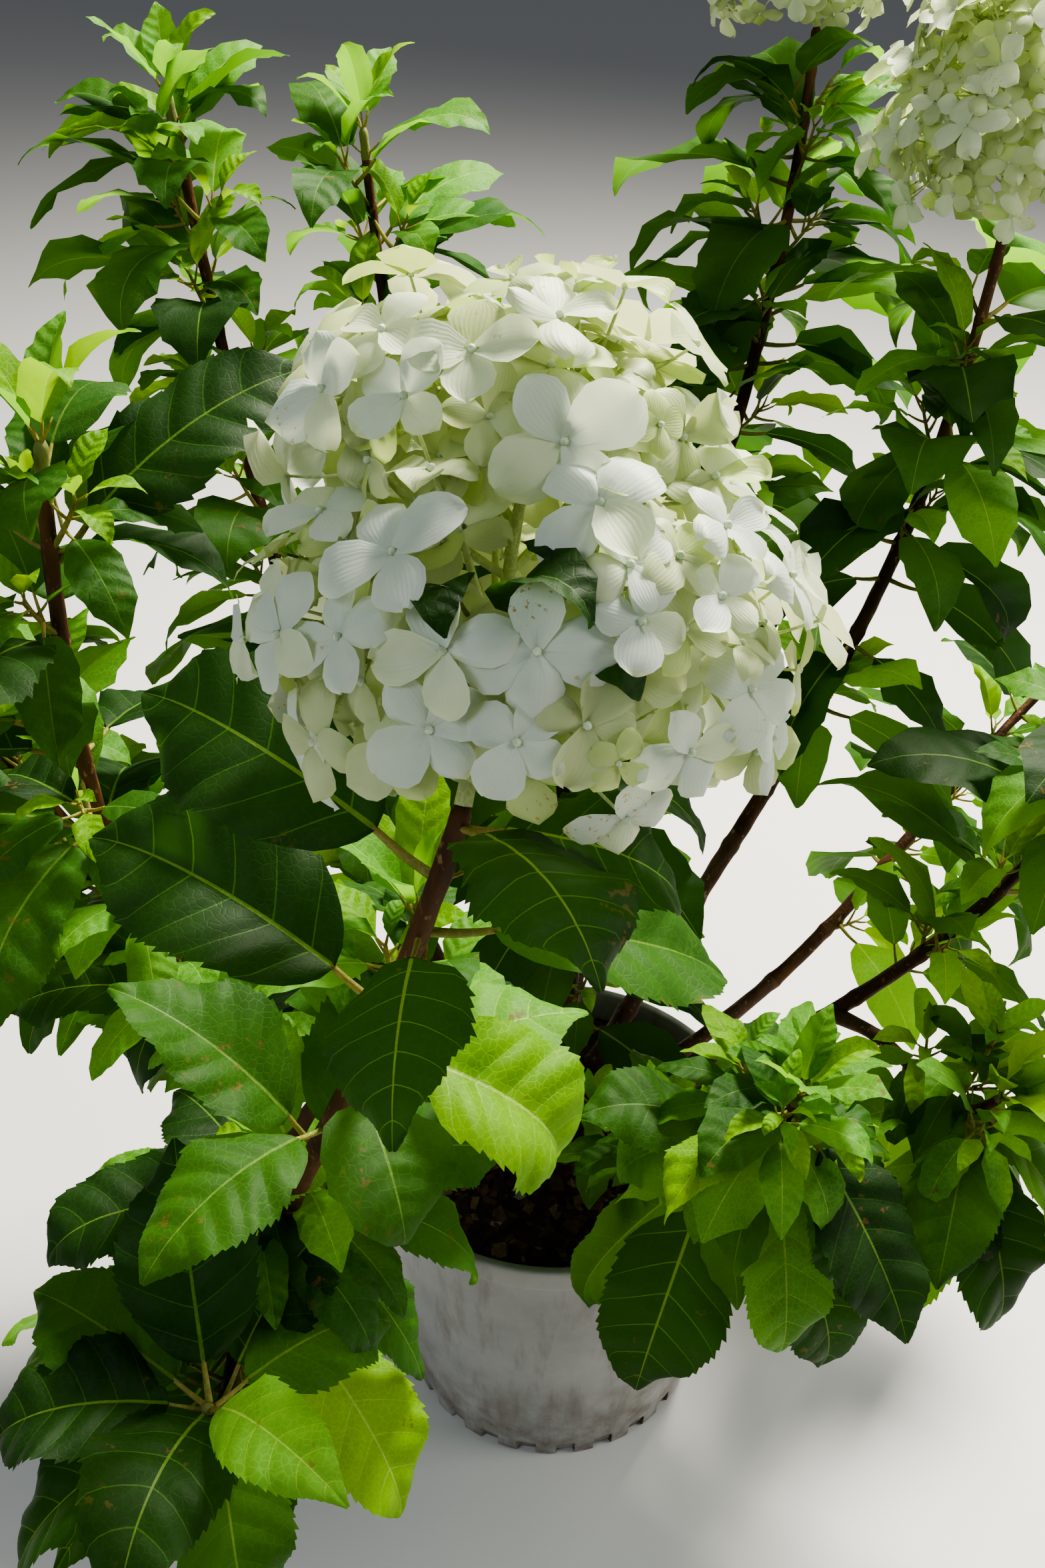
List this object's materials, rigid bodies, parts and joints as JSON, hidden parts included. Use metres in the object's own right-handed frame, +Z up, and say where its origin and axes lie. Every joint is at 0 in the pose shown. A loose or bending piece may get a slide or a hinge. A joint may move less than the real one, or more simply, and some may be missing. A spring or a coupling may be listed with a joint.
{
  "type": "potted hydrangea shrub",
  "caption": "Leafy multi-stemmed hydrangea shrub with large creamy flower heads, growing in a tapered white plastic nursery pot with a toothed foot.",
  "frame": {"origin": "middle of the pot's flat underside, on the ground", "axes": "+Z up; -Y is the side of the large front flower head; +X is to the right of someone who faces that side"},
  "size_m": [0.882, 0.9251, 1.0216],
  "materials": {
    "pot": "matt off-white moulded plastic, scuffed and stained with earth near its foot",
    "potting_mix": "dark moist bark and peat mix",
    "bark": "reddish-brown bark, lightly ridged",
    "leaf": "satin green leaves with paler veins, light green at the shoot tips",
    "blossom": "soft creamy-white sepals with greenish-yellow edges"
  },
  "bodies": {
    "root": {"bloom_back": "blossom", "bloom_back_right": "blossom", "bloom_front": "blossom", "leaves_back": "leaf", "leaves_back_left": "leaf", "leaves_back_mid": "leaf", "leaves_back_right": "leaf", "leaves_fork": "leaf", "leaves_front": "leaf", "leaves_inner": "leaf", "leaves_left": "leaf", "leaves_left_back": "leaf", "leaves_low_left": "leaf", "leaves_low_right": "leaf", "leaves_right": "leaf", "leaves_right_front": "leaf", "leaves_right_low": "leaf", "pot": "pot", "potting_mix": "potting_mix", "stem_back": "bark", "stem_back_left": "bark", "stem_back_mid": "bark", "stem_back_right": "bark", "stem_fork": "bark", "stem_front": "bark", "stem_inner": "bark", "stem_left": "bark", "stem_left_back": "bark", "stem_low_left": "bark", "stem_low_right": "bark", "stem_right": "bark", "stem_right_front": "bark", "stem_right_low": "bark", "stump": "bark"}
  },
  "joints": []
}
